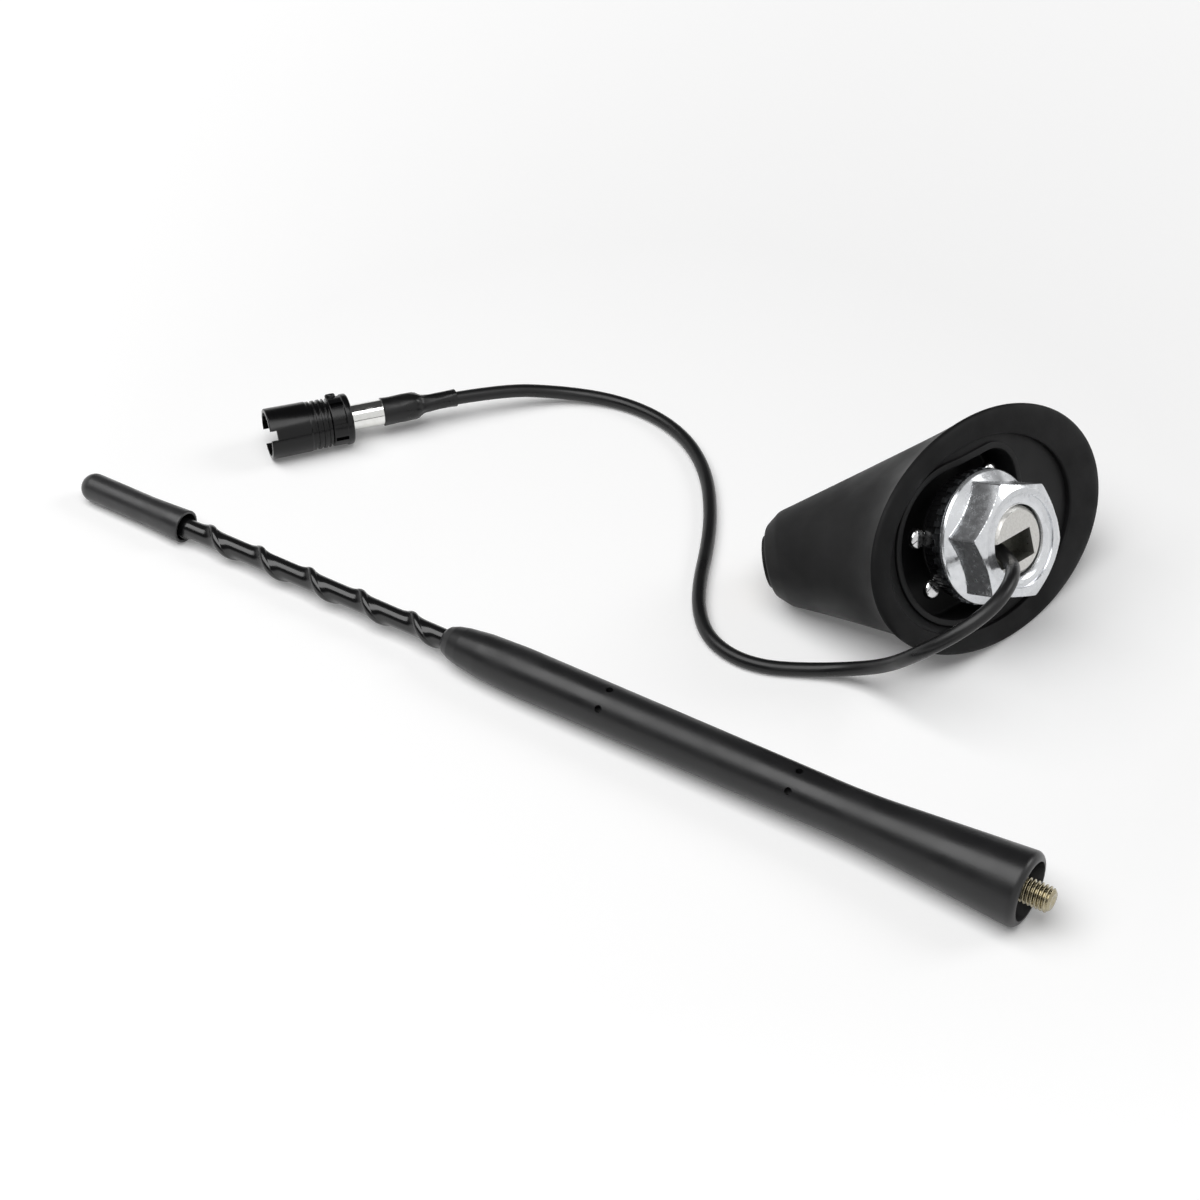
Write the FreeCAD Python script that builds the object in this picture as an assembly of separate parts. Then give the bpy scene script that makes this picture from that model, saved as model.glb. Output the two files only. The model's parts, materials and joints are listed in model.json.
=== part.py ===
import FreeCAD, Part
import math
import os
from FreeCAD import Vector as V

# Screw-on car roof antenna, taken apart: the mast lies unscrewed beside its base, and the aerial lead
# with its plug lies loose on the floor. Millimetres, +Z up, floor at z = 0, +X along the mast.

# Mast: distances run along its axis from the tip
TIP_R = 3.1            # rubber end cap
TIP_MOUTH_R = 3.5
TIP_LEN = 28.1
TIP_SWELL = 10.0       # the cap widens over this length to its mouth
TIP_RECESS_R = 2.9     # open mouth around the rod
TIP_RECESS = 3.0
ROD_R = 1.95           # bare whip
ROD_START = 12.0
ROD_END = 107.0
RIB_R = 1.0            # round bead that winds along the whip
RIB_SINK = 0.35        # how deep its centre lies in the rod
RIB_PITCH = 13.0
RIB_START = 26.3
RIB_TURNS = 5.2
RIB_PHASE = -80.4      # degrees round the rod
GRIP_START = 95.1
GRIP_R = 4.95
GRIP_STRAIGHT = 113.0  # the soft sleeve has reached its full size here
FLARE_START = 189.0
RIM_X = 223.6
RIM_R = 7.4
RIM_ROUND = 1.5
RIM_RECESS_R = 6.0
RIM_RECESS = 3.2
PIN_RINGS = (133.8, 175.7)
PIN_R = 0.75
PIN_DEPTH = 1.6
PIN_MIDDLE = 113.7     # degrees round the sleeve, from +Y towards +Z
PIN_SPREAD = 27.0
STUD_R = 2.5           # M5
STUD_OUT = 4.5         # beyond the rim
STUD_SHANK_R = 3.2
STUD_SHANK = 13.0
MAST_TIP_X = -114.03
MAST_Y = -48.74

# Base, in its own frame: roof plane z = 0, stud pointing down, mast leaning towards +X
OVAL_A = 34.3
OVAL_B = 23.4
OVAL_X = -4.0          # centre of the oval from the stud's axis
SEAL_T = 1.2
SEAL_IN_A = 26.9
SEAL_IN_B = 18.6
SEAL_IN_X = -1.3
LIP_IN = 2.0           # the body is this much smaller above its foot
LIP_Z = 5.0
NOSE_X = 20.6
NOSE_Z = 34.0
NOSE_R = 9.8
NOSE_CAP = 3.2
SEAT_R = 7.2
BOSS_R = 5.4
BOSS_H = 0.9
SOCKET_R = 4.0
SOCKET_LEN = 14.0
TAP_R = 2.1            # M5 tapping hole
TAP_DEPTH = 11.0
POCKET_X = (-14.2, 4.3)  # square end, and centre of the round end
POCKET_R = 15.2          # half width, and radius of the round end
POCKET_ROUND = 6.5
POCKET_LIP = 1.4         # raised edge round the pocket
POCKET_LIP_H = 0.6
POCKET_TOP = 8.4
SPIGOT_R = 6.85        # M14 x 1.5 thread, taken as plain
SPIGOT_END = -10.2
SPIGOT_TOP = 12.0
CORE_FLANGE_R = 11.0
CORE_FLANGE = 4.0
SLOT_W = 5.6
SLOT_Y = -1.3          # the slot lies off the stud's centre
SLOT_BACK = -3.6
SLOT_FLOOR = -4.6

# Washers and nut on the stud, from the roof outwards along -Z
STACK_BORE = 7.3
CLAW_TOP = 4.4
CLAW_T = 1.2
CLAW_R = 12.9
EAR_R = 2.1
EAR_AT = 13.5
EAR_TURN = -5.8
EAR_SPREAD = (23.9, 37.3)  # half the angle between the two ears at each end
COLLAR_R = 12.8
COLLAR_T = 2.9
TOOTH_T = 1.6
TOOTH_R = 13.6
TOOTH_ROOT = 12.9
TEETH = 34
NUT_GAP = 0.3
NUT_BORE = 7.15
NUT_FLAT = 22.0        # across flats
NUT_H = 9.6
NUT_FLANGE_R = 13.5
NUT_FLANGE = 3.0
NUT_TURN = 20.3

# How the base lies: direction of the stud seen from above, and the dip of the oval's long axis
BASE_AT = (63.31, 18.59)
STUD_YAW = -11.3
OVAL_ROLL = -5.5

# Plug, in its own frame: x = 0 at the mouth, cable at the far end
PLUG_AT = (-89.9, -16.4)
PLUG_YAW = 51.5
SHELL_R = 5.6
SHELL_MID_R = 5.35
SHELL_LEN = 18.4
SHELL_BORE = 4.8       # empty front of the mouth
SHELL_BORE_LEN = 5.2
SHELL_INNER_R = 4.4    # around the contact
SHELL_INNER_END = 10.5
SHELL_CORE_R = 3.6
FLANGE_R = 5.5
FLANGE_T = 1.3
RING_AT = (9.9, 11.1, 12.3)
RING_W = 0.6
RING_D = 0.35
NECK = (13.1, 13.8)
NECK_R = 4.55
NOTCH_W = 2.1
NOTCH_D = (1.4, 2.4)
NOTCH_TURN = 150.0
WINDOW_X = (13.9, 17.1)
WINDOW_W = 1.2
WINDOWS = 8
WINDOW_TURN = 12.0
CONTACT_R = 1.1
CONTACT_OUT = 5.0
CONTACT_IN = 3.0
FERRULE_R = 2.8
FERRULE = (16.0, 33.0)
SHRINK_R = 3.15
SHRINK_X = (25.7, 33.6, 35.4, 42.5)
SHRINK_THIN_R = 2.0

# Lead: where it leaves the spigot (base frame), then its way over the nut and along the floor
CABLE_R = 1.45
CABLE_START = V(-0.3, SLOT_Y, -2.0)
CABLE_DIR = V(0.46, -0.06, -0.885)
CABLE_OUT = 9.2
OVER_NUT = [V(10.3, -2.1, -17.4), V(18.2, -4.9, -19.0), V(25.9, -8.0, -15.4), V(31.0, -11.5, -7.6)]
ON_FLOOR = [V(59.0, -10.6, 7.4), V(50.2, -11.1, 2.6), V(42.7, -14.6, CABLE_R), V(36.2, -17.9, CABLE_R),
            V(29.4, -18.7, CABLE_R), V(22.3, -16.4, CABLE_R), V(16.3, -10.3, CABLE_R),
            V(11.7, -2.2, CABLE_R), V(7.9, 6.8, CABLE_R), V(2.8, 16.8, CABLE_R), V(-4.8, 27.8, CABLE_R),
            V(-13.8, 35.7, CABLE_R), V(-24.1, 39.9, CABLE_R), V(-35.7, 40.2, CABLE_R), V(-47.1, 35.2, 2.4)]
PLUG_LEAD = 52.0       # corner of the route behind the plug, from the mouth
CABLE_END = 31.0
BEND_SHARE = 0.45      # of the shorter run, used up by each bend
LEAD_NODES = ("coax_cable", "heat_shrink", "crimp_ferrule", "plug_shell", "plug_insulator", "plug_contact")


def turned(start, *steps):
    """Solid of revolution about X. A step is a point (x, r), an arc (mid, end) or a list of spline points."""
    at = lambda p: V(p[0], 0, p[1])
    edges, here = [], start
    for step in steps + (start,):
        if isinstance(step, list):
            curve = Part.BSplineCurve()
            curve.interpolate([at(p) for p in [here] + step])
            edges.append(curve.toShape())
            here = step[-1]
        elif isinstance(step[0], tuple):
            edges.append(Part.Arc(at(here), at(step[0]), at(step[1])).toShape())
            here = step[1]
        else:
            edges.append(Part.LineSegment(at(here), at(step)).toShape())
            here = step
    return Part.Face(Part.Wire(edges)).revolve(V(), V(1, 0, 0), 360)


def turned_z(start, *steps):
    """The same about Z, with points (z, r)."""
    body = turned(start, *steps)
    body.rotate(V(), V(0, 1, 0), -90)
    return body


def ring(inner, outer, low, high):
    return turned_z((low, inner), (low, outer), (high, outer), (high, inner))


def oval(a, b, x, z):
    return Part.Wire(Part.Ellipse(V(x, 0, z), a, b).toBSpline().toShape())


def polar(radius, degrees, z=0.0):
    return V(radius * math.cos(math.radians(degrees)), radius * math.sin(math.radians(degrees)), z)


def star(radii, count, low, high, turn):
    """Prism whose corners step through the given radii."""
    n = count * len(radii)
    corners = [polar(radii[i % len(radii)], turn + 360.0 * i / n, low) for i in range(n)]
    return Part.Face(Part.makePolygon(corners + corners[:1])).extrude(V(0, 0, high - low))


def radial_pin(radius, x, degrees, inner, outer):
    """Round pin across the X axis, between two distances from it."""
    out = V(0, math.cos(math.radians(degrees)), math.sin(math.radians(degrees)))
    return Part.makeCylinder(radius, outer - inner, V(x, 0, 0) + out * inner, out)


def radial_box(x, width, degrees, inner, outer):
    """Box across the X axis, reaching outwards at an angle."""
    box = Part.makeBox(x[1] - x[0], outer - inner, width, V(x[0], inner, -width / 2))
    box.rotate(V(), V(1, 0, 0), degrees)
    return box


# Mast
def mast_tip():
    s = TIP_R * math.sqrt(0.5)
    edge = 0.5
    return turned((0, 0), ((TIP_R - s, s), (TIP_R, TIP_R)), (TIP_LEN - TIP_SWELL, TIP_R),
                  [(TIP_LEN - TIP_SWELL / 2, (TIP_R + TIP_MOUTH_R) / 2), (TIP_LEN - edge, TIP_MOUTH_R)],
                  ((TIP_LEN - 0.15, TIP_MOUTH_R - 0.15), (TIP_LEN, TIP_MOUTH_R - edge)),
                  (TIP_LEN, TIP_RECESS_R), (TIP_LEN - TIP_RECESS, TIP_RECESS_R),
                  (TIP_LEN - TIP_RECESS, ROD_R), (ROD_START, ROD_R), (ROD_START, 0))


def mast_whip():
    rod = turned((ROD_START, 0), (ROD_START, ROD_R), (ROD_END, ROD_R), (ROD_END, 0))
    path = Part.Wire(Part.makeHelix(RIB_PITCH, RIB_PITCH * RIB_TURNS, ROD_R - RIB_SINK).Edges)
    begin = path.Edges[0]
    along = begin.tangentAt(begin.FirstParameter)
    bead = Part.Wire(Part.Circle(begin.valueAt(begin.FirstParameter), along, RIB_R).toShape())
    rib = path.makePipeShell([bead], True, True)
    rib.rotate(V(), V(0, 0, 1), RIB_PHASE)
    rib.rotate(V(), V(0, 1, 0), 90)
    rib.translate(V(RIB_START, 0, 0))
    return rod.fuse(rib)


def mast_grip():
    slope = math.atan2(RIM_R - GRIP_R, RIM_X - FLARE_START)
    centre = (RIM_X - RIM_ROUND, RIM_R - RIM_ROUND)
    round_at = lambda a: (centre[0] + RIM_ROUND * math.sin(a), centre[1] + RIM_ROUND * math.cos(a))
    body = turned((ROD_END, 0), (ROD_END, ROD_R), (GRIP_START, ROD_R), (GRIP_START, ROD_R + 0.35),
                  [(GRIP_START + 0.7, 2.9), (GRIP_START + 2.2, 3.5), (GRIP_START + 4.5, 4.0),
                   (GRIP_START + 9.5, 4.6), (GRIP_STRAIGHT, GRIP_R)],
                  (FLARE_START, GRIP_R), round_at(-slope),
                  (round_at((math.pi / 2 - slope) / 2), (RIM_X, centre[1])),
                  (RIM_X, min(RIM_RECESS_R, centre[1] - 0.05)), (RIM_X - RIM_RECESS, RIM_RECESS_R - 0.8),
                  (RIM_X - RIM_RECESS, STUD_SHANK_R), (RIM_X - RIM_RECESS - STUD_SHANK, STUD_SHANK_R),
                  (RIM_X - RIM_RECESS - STUD_SHANK, 0))
    pins = [radial_pin(PIN_R, x, PIN_MIDDLE + side + turn, GRIP_R - PIN_DEPTH, GRIP_R + 1)
            for x in PIN_RINGS for side in (-PIN_SPREAD, PIN_SPREAD) for turn in (0, 180)]
    return body.cut(pins)


def mast_stud():
    floor = RIM_X - RIM_RECESS
    end = RIM_X + STUD_OUT
    return turned((floor - STUD_SHANK, 0), (floor - STUD_SHANK, STUD_SHANK_R), (floor, STUD_SHANK_R),
                  (floor, STUD_R), (end - 0.6, STUD_R), (end, STUD_R - 0.6), (end, 0.9), (end - 0.6, 0))


# Base
def nose_frame():
    lean = math.atan2(NOSE_X - OVAL_X, NOSE_Z)
    return FreeCAD.Placement(V(NOSE_X, 0, NOSE_Z), FreeCAD.Rotation(V(0, 1, 0), math.degrees(lean)))


def on_nose(shape):
    shape.Placement = nose_frame().multiply(shape.Placement)
    return shape


def mast_socket():
    face = NOSE_CAP + BOSS_H
    return on_nose(turned_z((face - SOCKET_LEN, 0), (face - SOCKET_LEN, SOCKET_R), (face, SOCKET_R),
                            (face, TAP_R + 0.5), (face - 0.5, TAP_R), (face - TAP_DEPTH, TAP_R),
                            (face - TAP_DEPTH - 1.2, 0)))


def base_core():
    lead = CABLE_DIR / CABLE_DIR.Length
    spigot = turned_z((SPIGOT_END, 0), (SPIGOT_END, SPIGOT_R - 0.8), (SPIGOT_END + 0.8, SPIGOT_R),
                      (SPIGOT_TOP, SPIGOT_R), (SPIGOT_TOP, CORE_FLANGE_R),
                      (SPIGOT_TOP + CORE_FLANGE, CORE_FLANGE_R), (SPIGOT_TOP + CORE_FLANGE, 0))
    slot = Part.makeBox(SPIGOT_R - SLOT_BACK + 1, SLOT_W, SLOT_FLOOR - SPIGOT_END + 1,
                        V(SLOT_BACK, SLOT_Y - SLOT_W / 2, SPIGOT_END - 1))
    return spigot.cut([slot, Part.makeCylinder(CABLE_R, CABLE_OUT, CABLE_START, lead)])


def pocket_prism(grow, low, high):
    """Prism of the pocket's outline, larger all round by an amount."""
    half, end = POCKET_R + grow, POCKET_X[0] - grow
    block = Part.makeBox(POCKET_X[1] - end, 2 * half, high - low, V(end, -half, low))
    corners = [e for e in block.Edges if e.BoundBox.XMax < POCKET_X[1] - 1 and e.BoundBox.YLength < 1]
    round_end = Part.makeCylinder(half, high - low, V(POCKET_X[1], 0, low))
    return block.makeFillet(POCKET_ROUND + grow, corners).fuse(round_end)


def base_cover():
    foot = oval(OVAL_A, OVAL_B, OVAL_X, SEAL_T)
    waist = oval(OVAL_A - LIP_IN, OVAL_B - LIP_IN, OVAL_X, LIP_Z)
    nose = on_nose(Part.Wire(Part.Circle(V(), V(0, 0, 1), NOSE_R).toBSpline().toShape()))
    cap = on_nose(turned_z((0, 0), (0, NOSE_R), ((0.55, NOSE_R - 0.45), (NOSE_CAP, SEAT_R)),
                           (NOSE_CAP, BOSS_R), (NOSE_CAP + BOSS_H, BOSS_R), (NOSE_CAP + BOSS_H, 0)))
    lip = pocket_prism(POCKET_LIP, SEAL_T - POCKET_LIP_H, SEAL_T)
    body = Part.makeLoft([foot, waist], True, True).fuse([Part.makeLoft([waist, nose], True, True), cap, lip])
    socket_hole = on_nose(Part.makeCylinder(SOCKET_R, SOCKET_LEN, V(0, 0, NOSE_CAP + BOSS_H - SOCKET_LEN)))
    return body.cut([pocket_prism(0, 0, POCKET_TOP), base_core(), socket_hole])


def roof_seal():
    outer = Part.Face(oval(OVAL_A, OVAL_B, OVAL_X, 0)).extrude(V(0, 0, SEAL_T))
    return outer.cut(Part.Face(oval(SEAL_IN_A, SEAL_IN_B, SEAL_IN_X, 0)).extrude(V(0, 0, SEAL_T)))


# Washers and nut
def claw_washer():
    low = CLAW_TOP - CLAW_T
    ears = [Part.makeCylinder(EAR_R, CLAW_T, polar(EAR_AT, EAR_TURN + end + side, low))
            for end, spread in zip((0, 180), EAR_SPREAD) for side in (-spread, spread)]
    plate = Part.makeCylinder(CLAW_R, CLAW_T, V(0, 0, low)).fuse(ears)
    return plate.cut(Part.makeCylinder(STACK_BORE, CLAW_T, V(0, 0, low))).removeSplitter()


def spacer_collar():
    return ring(STACK_BORE, COLLAR_R, CLAW_TOP - CLAW_T - COLLAR_T, CLAW_TOP - CLAW_T)


def toothed_washer():
    high = CLAW_TOP - CLAW_T - COLLAR_T
    disc = star((TOOTH_R, TOOTH_ROOT), TEETH, high - TOOTH_T, high, 0)
    return disc.cut(Part.makeCylinder(STACK_BORE, TOOTH_T, V(0, 0, high - TOOTH_T)))


def nut_seat():
    return CLAW_TOP - CLAW_T - COLLAR_T - TOOTH_T - NUT_GAP


def mounting_nut():
    seat = nut_seat()
    face = seat - NUT_H
    corner = NUT_FLAT / math.sqrt(3)
    hexagon = star((corner,), 6, face, seat - 0.5, NUT_TURN)
    bevel = turned_z((seat, 0), (seat, corner), (face + 1.3, corner), (face, NUT_FLAT / 2 - 0.6), (face, 0))
    flange = turned_z((seat, 0), (seat, NUT_FLANGE_R - 0.4),
                      ((seat - 0.5, NUT_FLANGE_R), (seat - 1.1, NUT_FLANGE_R - 0.3)),
                      (seat - NUT_FLANGE, NUT_FLAT / 2 - 0.3), (seat - NUT_FLANGE, 0))
    hole = turned_z((seat + 1, 0), (seat + 1, NUT_BORE), (face + 1.0, NUT_BORE), (face + 0.4, NUT_BORE + 0.6),
                    (face + 0.4, NUT_BORE + 2.0), (face - 1, NUT_BORE + 2.0), (face - 1, 0))
    return hexagon.common(bevel).fuse(flange).cut(hole).removeSplitter()


# Plug on the end of the lead
def plug_shell():
    grooves = []
    for x in RING_AT:
        grooves += [(x, SHELL_MID_R), (x, SHELL_MID_R - RING_D), (x + RING_W, SHELL_MID_R - RING_D),
                    (x + RING_W, SHELL_MID_R)]
    back = SHELL_LEN - FLANGE_T
    body = turned((0, SHELL_BORE), (0, SHELL_R - 0.25), (0.3, SHELL_R), (RING_AT[0] - 1.0, SHELL_R - 0.1),
                  (RING_AT[0] - 0.7, SHELL_MID_R), *grooves, (NECK[0], SHELL_MID_R), (NECK[0], NECK_R),
                  (NECK[1], NECK_R), (NECK[1], FLANGE_R - 0.15), (back, FLANGE_R - 0.15),
                  (back + 0.15, FLANGE_R), (SHELL_LEN - 0.3, FLANGE_R), (SHELL_LEN, FLANGE_R - 0.3),
                  (SHELL_LEN, FERRULE_R), (FERRULE[0], FERRULE_R), (FERRULE[0], SHELL_CORE_R),
                  (SHELL_INNER_END, SHELL_CORE_R), (SHELL_INNER_END, SHELL_INNER_R),
                  (SHELL_BORE_LEN, SHELL_INNER_R), (SHELL_BORE_LEN, SHELL_BORE))
    notches = [radial_box((-1, deep), NOTCH_W, NOTCH_TURN + t, SHELL_BORE - 1, SHELL_R + 1)
               for t, deep in zip((0, 180), NOTCH_D)]
    windows = [radial_box(WINDOW_X, WINDOW_W, WINDOW_TURN + 360.0 * i / WINDOWS, SHELL_CORE_R, SHELL_R + 1)
               for i in range(WINDOWS)]
    return body.cut(notches + windows)


def plug_insulator():
    root = SHELL_INNER_END + CONTACT_IN
    return turned((SHELL_INNER_END, CONTACT_R), (SHELL_INNER_END, SHELL_CORE_R), (FERRULE[0], SHELL_CORE_R),
                  (FERRULE[0], 0), (root, 0), (root, CONTACT_R))


def plug_contact():
    front, root = SHELL_INNER_END - CONTACT_OUT, SHELL_INNER_END + CONTACT_IN
    return turned((front + 3.5, 0), (front + 3.5, 0.6), (front, 0.6), (front, CONTACT_R - 0.15),
                  (front + 0.3, CONTACT_R), (root, CONTACT_R), (root, 0))


def crimp_ferrule():
    return turned((FERRULE[0], 0), (FERRULE[0], FERRULE_R), (FERRULE[1], FERRULE_R), (FERRULE[1], CABLE_R),
                  (CABLE_END, CABLE_R), (CABLE_END, 0))


def heat_shrink():
    a, b, c, d = SHRINK_X
    return turned((a, FERRULE_R), (a, SHRINK_R - 0.15), (a + 0.3, SHRINK_R), (b, SHRINK_R - 0.05),
                  [((b + c) / 2, (SHRINK_R + SHRINK_THIN_R) / 2), (c, SHRINK_THIN_R + 0.1)], (d, SHRINK_THIN_R),
                  (d, CABLE_R), (FERRULE[1], CABLE_R), (FERRULE[1], FERRULE_R))


# Where the pieces lie
def floor_height(shape):
    return shape.optimalBoundingBox().ZMin


def mast_placement():
    # tangent to the round tip and to the rounded rim
    reach = math.hypot(RIM_X - RIM_ROUND - TIP_R, RIM_R - RIM_ROUND)
    tilt = math.asin((RIM_ROUND - TIP_R) / reach) + math.atan2(RIM_R - RIM_ROUND, RIM_X - RIM_ROUND - TIP_R)
    turn = FreeCAD.Rotation(V(0, 1, 0), -math.degrees(tilt))
    return FreeCAD.Placement(V(MAST_TIP_X, MAST_Y, TIP_R - TIP_R * math.sin(tilt)), turn)


def base_axes(pitch):
    yaw, roll = math.radians(STUD_YAW), math.radians(OVAL_ROLL)
    out = V(math.cos(pitch) * math.cos(yaw), math.cos(pitch) * math.sin(yaw), math.sin(pitch))
    level = V(-math.sin(yaw), math.cos(yaw), 0)
    long_axis = level * math.cos(roll) + out.cross(level) * math.sin(roll)
    x, z = -long_axis, -out
    return x, z.cross(x), z


def rim_over_nose(pitch):
    """How much higher the foot's lowest edge is than the nose's, at a pitch of the stud."""
    x, y, z = base_axes(pitch)
    rim = OVAL_X * x.z - math.hypot(OVAL_A * x.z, OVAL_B * y.z)
    axis = x * (NOSE_X - OVAL_X) + z * NOSE_Z
    nose = NOSE_X * x.z + NOSE_Z * z.z - NOSE_R * math.sqrt(1 - (axis.z / axis.Length) ** 2)
    return rim - nose


def base_placement():
    low, high = 0.0, math.radians(60)
    for _ in range(50):
        middle = (low + high) / 2
        if rim_over_nose(middle) < 0:
            low = middle
        else:
            high = middle
    x, y, z = base_axes(low)
    place = FreeCAD.Placement(V(BASE_AT[0], BASE_AT[1], 0), FreeCAD.Rotation(x, y, z, "XYZ"))
    lying = [s.transformed(place.toMatrix(), copy=True) for s in (base_cover(), roof_seal())]
    place.Base.z -= min(floor_height(s) for s in lying)
    print("stud pitch %.2f" % math.degrees(low))
    return place


def plug_placement():
    return FreeCAD.Placement(V(PLUG_AT[0], PLUG_AT[1], SHELL_R), FreeCAD.Rotation(V(0, 0, 1), PLUG_YAW))


def lead_route(base, plug):
    lead = CABLE_DIR / CABLE_DIR.Length
    near = [base.multVec(p) for p in [CABLE_START, CABLE_START + lead * CABLE_OUT] + OVER_NUT]
    return near + ON_FLOOR + [plug.multVec(V(PLUG_LEAD, 0, 0)), plug.multVec(V(CABLE_END, 0, 0))]


def coax_cable(points):
    edges, here, radii = [], points[0], []
    for before, at, after in zip(points, points[1:], points[2:]):
        a, b = before - at, after - at
        half = (math.pi - a.getAngle(b)) / 2
        cut = BEND_SHARE * min(a.Length, b.Length)
        radius = cut / math.tan(half)
        u, w = a / a.Length, b / b.Length
        inwards = (u + w) / (u + w).Length
        middle = at + inwards * (radius / math.cos(half) - radius)
        edges += [Part.LineSegment(here, at + u * cut).toShape(),
                  Part.Arc(at + u * cut, middle, at + w * cut).toShape()]
        here = at + w * cut
        radii.append(radius)
    edges.append(Part.LineSegment(here, points[-1]).toShape())
    path = Part.Wire(edges)
    section = Part.Wire(Part.Circle(points[0], points[1] - points[0], CABLE_R).toShape())
    tube = path.makePipeShell([section], True, False)
    print("lead bend radii", ["%.1f" % r for r in radii])
    print("lead length %.1f, volume over section x length %.4f"
          % (path.Length, tube.Volume / (math.pi * CABLE_R ** 2 * path.Length)))
    return tube


def build():
    mast, base, plug = mast_placement(), base_placement(), plug_placement()
    groups = [(mast, (mast_tip, mast_whip, mast_grip, mast_stud)),
              (base, (base_cover, base_core, mast_socket, roof_seal, claw_washer, spacer_collar, toothed_washer,
                      mounting_nut)),
              (plug, (plug_shell, plug_insulator, plug_contact, crimp_ferrule, heat_shrink))]
    nodes = {make.__name__: make().transformed(place.toMatrix(), copy=True)
             for place, makers in groups for make in makers}
    route = lead_route(base, plug)
    nodes["coax_cable"] = coax_cable(route)
    print("route", [tuple(round(c, 2) for c in p) for p in route])
    for name, place, at, way in (("mast stud", mast, V(RIM_X, 0, 0), V(1, 0, 0)),
                                 ("roof face", base, V(), V(0, 0, -1)),
                                 ("socket", base.multiply(nose_frame()), V(0, 0, NOSE_CAP), V(0, 0, 1)),
                                 ("plug mouth", plug, V(max(NOTCH_D), 0, 0), V(-1, 0, 0))):
        p, d = place.multVec(at), place.Rotation.multVec(way)
        print(name, "at", [round(c / 1000, 6) for c in p], "axis", [round(c, 6) for c in d])
    return nodes


os.makedirs("parts", exist_ok=True)
box = FreeCAD.BoundBox()
for node, shape in build().items():
    shape.exportStep("parts/%s.step" % node)
    if node not in LEAD_NODES:
        box.add(shape.optimalBoundingBox())
    print(node, "solids", len(shape.Solids), "valid", shape.isValid(), "volume %.1f" % shape.Volume)
print("box without the lead %.2f %.2f %.2f" % (box.XMin, box.YMin, box.ZMin),
      "to %.2f %.2f %.2f" % (box.XMax, box.YMax, box.ZMax))
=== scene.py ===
# %% [markdown]
# # A car roof antenna, taken apart
# The mast lies unscrewed on a white table. Its base lies on its side beside it, with the fixing nut
# towards us, and a thin coaxial lead runs from the base to a push-on plug. This lesson dresses the packed
# solids: it keeps their sizes and places, and adds the roundings, threads, grain and finishes that the
# eye reads as rubber, plastic and plate. Sizes are in millimetres until a frame turns them to metres.

# %% Load the solids
import bpy
import bmesh
import json
import math
from mathutils import Matrix, Vector


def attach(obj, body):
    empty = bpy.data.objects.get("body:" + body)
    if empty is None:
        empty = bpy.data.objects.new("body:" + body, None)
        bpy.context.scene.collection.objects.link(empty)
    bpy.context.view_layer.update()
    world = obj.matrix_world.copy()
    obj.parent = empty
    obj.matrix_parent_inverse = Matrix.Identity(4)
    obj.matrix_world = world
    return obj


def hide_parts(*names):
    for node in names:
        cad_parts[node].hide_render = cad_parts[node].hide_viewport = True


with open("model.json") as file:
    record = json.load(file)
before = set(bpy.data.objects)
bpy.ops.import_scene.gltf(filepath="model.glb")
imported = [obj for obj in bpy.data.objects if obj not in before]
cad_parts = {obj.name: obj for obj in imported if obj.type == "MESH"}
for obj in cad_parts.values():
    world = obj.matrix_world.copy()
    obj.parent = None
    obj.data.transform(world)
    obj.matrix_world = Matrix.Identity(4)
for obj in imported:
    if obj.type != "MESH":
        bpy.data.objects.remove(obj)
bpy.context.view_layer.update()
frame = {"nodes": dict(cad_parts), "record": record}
MM = 0.001
print("solids:", sorted(frame["nodes"]))

# %% [markdown]
# ## The camera
# The picture was taken from 41 degrees above the table with a long lens, which a 36 mm sensor copies with
# 81 mm. The camera comes first, because everything after it is judged through it.

# %% Camera
scene = bpy.context.scene
scene.view_settings.view_transform = "Standard"


def linked(name, data):
    """A new object in the scene, of a mesh, a curve, a lamp or a camera."""
    obj = bpy.data.objects.new(name, data)
    scene.collection.objects.link(obj)
    return obj


def aimed(obj, spot, target):
    """Puts a camera or a lamp on a spot and turns it to a target."""
    obj.location = spot
    obj.rotation_euler = (Vector(target) - Vector(spot)).to_track_quat("-Z", "Y").to_euler()


camera = linked("camera", bpy.data.cameras.new("camera"))
camera.data.sensor_fit = "HORIZONTAL"
camera.data.sensor_width = 36.0
camera.data.lens = 81.0
eye = Vector((225.91, -366.72, 363.1)) * MM
aim = Vector((-2.95, -17.31, 0.0)) * MM
aimed(camera, eye, aim)
scene.camera = camera
print("camera %.3f m from the table's middle" % (eye - aim).length)

# %% [markdown]
# ## Colours and finishes
# Every finish starts from what the real surface is. Colours are written as sRGB hex values, as a colour
# picker shows them, and one function turns them to the linear values that a shader wants. A second small
# function adds a node with its settings, and links it where a value is another node's output.

# %% Two helpers for materials
def linear(code):
    """An sRGB hex colour as linear red, green, blue and alpha."""
    parts = [int(code[i:i + 2], 16) / 255 for i in (1, 3, 5)]
    return [p / 12.92 if p <= 0.04045 else ((p + 0.055) / 1.055) ** 2.4 for p in parts] + [1.0]


def add(tree, kind, sockets=None, **settings):
    """A new node. Each socket gets a value, or a link where the value is an output of another node."""
    made = tree.nodes.new(kind)
    for key, value in settings.items():
        setattr(made, key, value)
    for key, value in (sockets or {}).items():
        if isinstance(value, bpy.types.NodeSocket):
            tree.links.new(value, made.inputs[key])
        else:
            made.inputs[key].default_value = value
    return made


# the sockets of a Mix node for colours: its names serve several types, so numbers pick them
SHARE, FIRST, SECOND, MIXED = 0, 6, 7, 2
print("a middle grey is", round(linear("#808080")[0], 3), "in linear light")

# %% [markdown]
# Every finish here fills the same shader in the same way. A noise makes patches, which blend two colours
# and two roughnesses, and a noise makes the relief, which is too low to model and becomes a bump. A flat
# colour would be quicker, but it looks drawn.

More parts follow.
